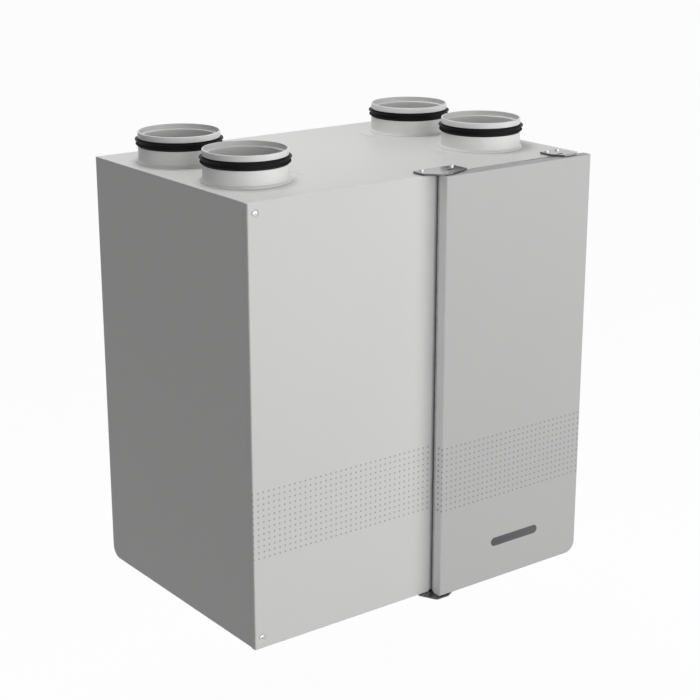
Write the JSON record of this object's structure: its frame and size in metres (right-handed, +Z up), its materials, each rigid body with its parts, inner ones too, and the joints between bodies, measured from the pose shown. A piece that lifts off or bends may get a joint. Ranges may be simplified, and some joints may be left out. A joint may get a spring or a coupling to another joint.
{
  "type": "heat recovery ventilation unit",
  "caption": "White wall-hung heat recovery ventilation unit with round duct collars on top, a fixed front panel and a hinged service door.",
  "frame": {"origin": "centre of the wall rail's four fixing holes, on the wall plane", "axes": "+X to the right seen from the front, +Y into the wall, +Z up"},
  "size_m": [0.741, 0.5475, 0.882],
  "materials": {
    "casing_white": "fine satin powder coat",
    "door_white": "fine satin powder coat",
    "zinc_sheet": "dull galvanised sheet",
    "steel_screw": "zinc plated",
    "black_bracket": "gloss black",
    "spigot_grey": "satin moulded",
    "seal_black": "matt",
    "buffer_black": "matt",
    "foam_grey": "beaded foam",
    "foam_white": "beaded foam",
    "plate_pale": "thin film",
    "frame_plastic": "moulded",
    "filter_card": "card",
    "filter_fleece": "fleece",
    "strap_web": "woven strap",
    "fan_plastic": "moulded",
    "impeller_plastic": "moulded",
    "motor_metal": "die cast",
    "tray_plastic": "moulded",
    "drain_black": "moulded",
    "board_green": "lacquered board",
    "gland_grey": "moulded",
    "bush_nylon": "nylon",
    "magnet_grey": "nickel plated"
  },
  "bodies": {
    "casing": {"back_panel": "zinc_sheet", "bottom_hinge_bracket": "black_bracket", "bottom_panel": "casing_white", "bracket_screws": "steel_screw", "bypass_actuator": "fan_plastic", "bypass_frame": "frame_plastic", "cable_gland": "gland_grey", "catch_bracket": "black_bracket", "catch_magnet": "magnet_grey", "condensate_tray": "tray_plastic", "control_board": "board_green", "control_box": "zinc_sheet", "door_frame_posts": "casing_white", "door_frame_rails": "casing_white", "door_gasket": "seal_black", "drain_grommet": "seal_black", "drain_socket": "drain_black", "exchanger_corner_rails": "frame_plastic", "exchanger_end_frames": "frame_plastic", "exchanger_plates": "plate_pale", "exchanger_strap": "strap_web", "exhaust_fan_housing": "fan_plastic", "exhaust_fan_motor": "motor_metal", "exhaust_seal": "seal_black", "exhaust_spigot": "spigot_grey", "extract_filter_frame": "filter_card", "extract_filter_media": "filter_fleece", "extract_seal": "seal_black", "extract_spigot": "spigot_grey", "front_panel": "casing_white", "front_panel_screws": "steel_screw", "hanger_rail": "zinc_sheet", "hinge_pins": "steel_screw", "left_core": "foam_grey", "left_core_cover": "foam_grey", "left_side_panel": "casing_white", "outdoor_filter_frame": "filter_card", "outdoor_filter_media": "filter_fleece", "outdoor_seal": "seal_black", "outdoor_spigot": "spigot_grey", "right_core": "foam_grey", "right_core_cover": "foam_grey", "right_side_panel": "casing_white", "supply_fan_housing": "fan_plastic", "supply_fan_motor": "motor_metal", "supply_seal": "seal_black", "supply_spigot": "spigot_grey", "top_hinge_bracket": "black_bracket", "top_panel": "casing_white", "upper_core": "foam_grey", "wall_buffers": "buffer_black", "wall_rail": "zinc_sheet"},
    "door": {"door_skin": "door_white", "door_liner": "zinc_sheet", "door_insulation": "foam_white", "door_bushes": "bush_nylon"},
    "supply_fan_wheel": {"supply_impeller": "impeller_plastic"},
    "exhaust_fan_wheel": {"exhaust_impeller": "impeller_plastic"},
    "bypass_damper": {"bypass_flap": "frame_plastic"}
  },
  "joints": [
    {"name": "door_hinge", "type": "hinge", "parent": "casing", "child": "door", "pos_m": [0.035, -0.532, -0.3075], "axis": [0, 0, -1], "range_deg": [0, 105]},
    {"name": "supply_fan_spin", "type": "hinge", "parent": "casing", "child": "supply_fan_wheel", "pos_m": [-0.1847, -0.408, -0.375], "axis": [0, 1, 0], "continuous": true},
    {"name": "exhaust_fan_spin", "type": "hinge", "parent": "casing", "child": "exhaust_fan_wheel", "pos_m": [-0.1847, -0.138, -0.375], "axis": [0, 1, 0], "continuous": true},
    {"name": "bypass_flap_turn", "type": "hinge", "parent": "casing", "child": "bypass_damper", "pos_m": [0.13605, -0.07, -0.375], "axis": [-1, 0, 0], "range_deg": [0, 85]}
  ]
}
